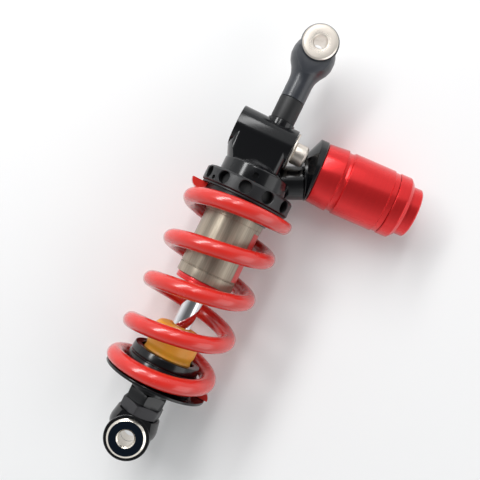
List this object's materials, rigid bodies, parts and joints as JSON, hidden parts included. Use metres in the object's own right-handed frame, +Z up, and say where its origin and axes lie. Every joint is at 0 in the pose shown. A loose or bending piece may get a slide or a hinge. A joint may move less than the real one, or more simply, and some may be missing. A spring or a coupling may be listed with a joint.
{
  "type": "motorcycle rear shock absorber",
  "caption": "Motorcycle rear shock absorber: coil spring over a damper, piggyback gas reservoir, threaded preload ring and a spherical bearing in each bolt eye.",
  "frame": {"origin": "centre of the upper bolt", "axes": "+Z up along the damper axis, away from the lower bolt; both bolts along Y; -Y is the front; the reservoir points to +X"},
  "size_m": [0.1602, 0.0821, 0.3458],
  "materials": {
    "black_anodised": "gloss black anodised",
    "charcoal_anodised": "satin dark grey anodised",
    "gunmetal": "satin gunmetal coated steel",
    "red_anodised": "gloss red anodised",
    "red_powder_coat": "gloss red powder coat",
    "hard_anodised": "hard anodised, grey-brown",
    "chrome": "ground and chromed",
    "steel": "machined",
    "bright_aluminium": "machined, lightly brushed",
    "brass": "machined bronze or brass",
    "urethane": "yellow-orange urethane",
    "rubber": "black nitrile rubber",
    "blued_steel": "blued, with bright machined chamfers"
  },
  "bodies": {
    "damper_body": {"upper_eye": "gunmetal", "upper_bearing_race": "steel", "upper_circlip_front": "steel", "upper_circlip_back": "steel", "shank_sleeve": "black_anodised", "head": "black_anodised", "head_end_plug": "black_anodised", "compression_valve_body": "steel", "valve_o_ring": "rubber", "reservoir_elbow": "black_anodised", "reservoir_o_ring": "rubber", "reservoir_tube": "red_anodised", "reservoir_end_cap": "red_anodised", "end_cap_o_ring": "rubber", "gas_valve": "brass", "gas_valve_cap": "rubber", "damper_tube": "hard_anodised", "tube_o_ring": "rubber", "seal_head": "bright_aluminium", "seal_head_o_ring": "rubber", "rod_bushing": "brass", "rod_seal": "rubber", "top_out_bumper": "rubber", "tube_end_cap": "red_anodised", "wiper_seal": "rubber"},
    "upper_swivel": {"upper_bearing_ball": "chrome", "upper_spacer_front": "bright_aluminium", "upper_spacer_back": "bright_aluminium"},
    "spring_seat": {"upper_spring_seat": "black_anodised"},
    "preload_ring": {"preload_ring": "charcoal_anodised", "preload_lock_screw": "steel"},
    "damper_rod": {"shaft": "chrome", "piston": "bright_aluminium", "piston_band": "brass", "compression_shims": "steel", "rebound_shims": "steel", "piston_nut": "steel", "coil_spring": "red_powder_coat", "bump_stop": "urethane", "lower_perch": "black_anodised", "perch_hex_nut": "black_anodised", "lower_eye": "black_anodised", "lower_bearing_race": "steel", "lower_circlip_front": "steel", "lower_circlip_back": "steel"},
    "lower_swivel": {"lower_bearing_ball": "chrome", "lower_spacer_front": "blued_steel", "lower_spacer_back": "blued_steel"},
    "rebound_adjuster": {"rebound_ring": "charcoal_anodised"},
    "rebound_needle": {"rebound_needle": "steel"},
    "compression_knob": {"compression_knob": "bright_aluminium"},
    "compression_needle": {"compression_needle": "steel"},
    "floating_piston": {"floating_piston": "bright_aluminium", "floating_piston_seal": "rubber"}
  },
  "joints": [
    {"name": "damper_stroke", "type": "slide", "parent": "damper_body", "child": "damper_rod", "axis": [0, 0, 1], "range_m": [0, 0.046], "stiffness_N_per_m": 90000, "springref_m": -0.006, "deforming": ["coil_spring", "bump_stop"]},
    {"name": "floating_piston_travel", "type": "slide", "parent": "damper_body", "child": "floating_piston", "axis": [0.999, 0, 0.0454], "range_m": [0, 0.007]},
    {"name": "spring_seat_travel", "type": "slide", "parent": "damper_body", "child": "spring_seat", "axis": [0, 0, -1], "range_m": [0, 0.00602], "deforming": ["coil_spring"]},
    {"name": "preload_ring_turn", "type": "hinge", "parent": "spring_seat", "child": "preload_ring", "pos_m": [0, 0, -0.118], "axis": [0, 0, -1], "range_deg": [0, 1440]},
    {"name": "compression_knob_turn", "type": "hinge", "parent": "damper_body", "child": "compression_knob", "pos_m": [0.0153, 0, -0.0776], "axis": [1, 0, 0], "range_deg": [-540.5, 540.5]},
    {"name": "compression_needle_travel", "type": "slide", "parent": "damper_body", "child": "compression_needle", "axis": [1, 0, 0], "range_m": [-0.00075, 0.00075]},
    {"name": "rebound_ring_turn", "type": "hinge", "parent": "damper_rod", "child": "rebound_adjuster", "pos_m": [0, 0, -0.2936], "axis": [0, 0, 1], "range_deg": [-360.5, 360.5]},
    {"name": "rebound_needle_travel", "type": "slide", "parent": "damper_rod", "child": "rebound_needle", "axis": [0, 0, 1], "range_m": [-0.00075, 0.00075]},
    {"name": "upper_bearing_swivel", "type": "hinge", "parent": "damper_body", "child": "upper_swivel", "pos_m": [0, 0, 0], "axis": [0, 1, 0], "continuous": true},
    {"name": "lower_bearing_swivel", "type": "hinge", "parent": "damper_rod", "child": "lower_swivel", "pos_m": [0, 0, -0.315], "axis": [0, 1, 0], "continuous": true}
  ],
  "couplings": [
    {"joint": "floating_piston_travel", "follows": "damper_stroke", "ratio": 0.1189},
    {"joint": "spring_seat_travel", "follows": "preload_ring_turn", "m_per_rad": 0.00023873},
    {"joint": "compression_knob_turn", "follows": "compression_needle_travel", "rad_per_m": 12566},
    {"joint": "rebound_ring_turn", "follows": "rebound_needle_travel", "rad_per_m": 8377.6}
  ]
}
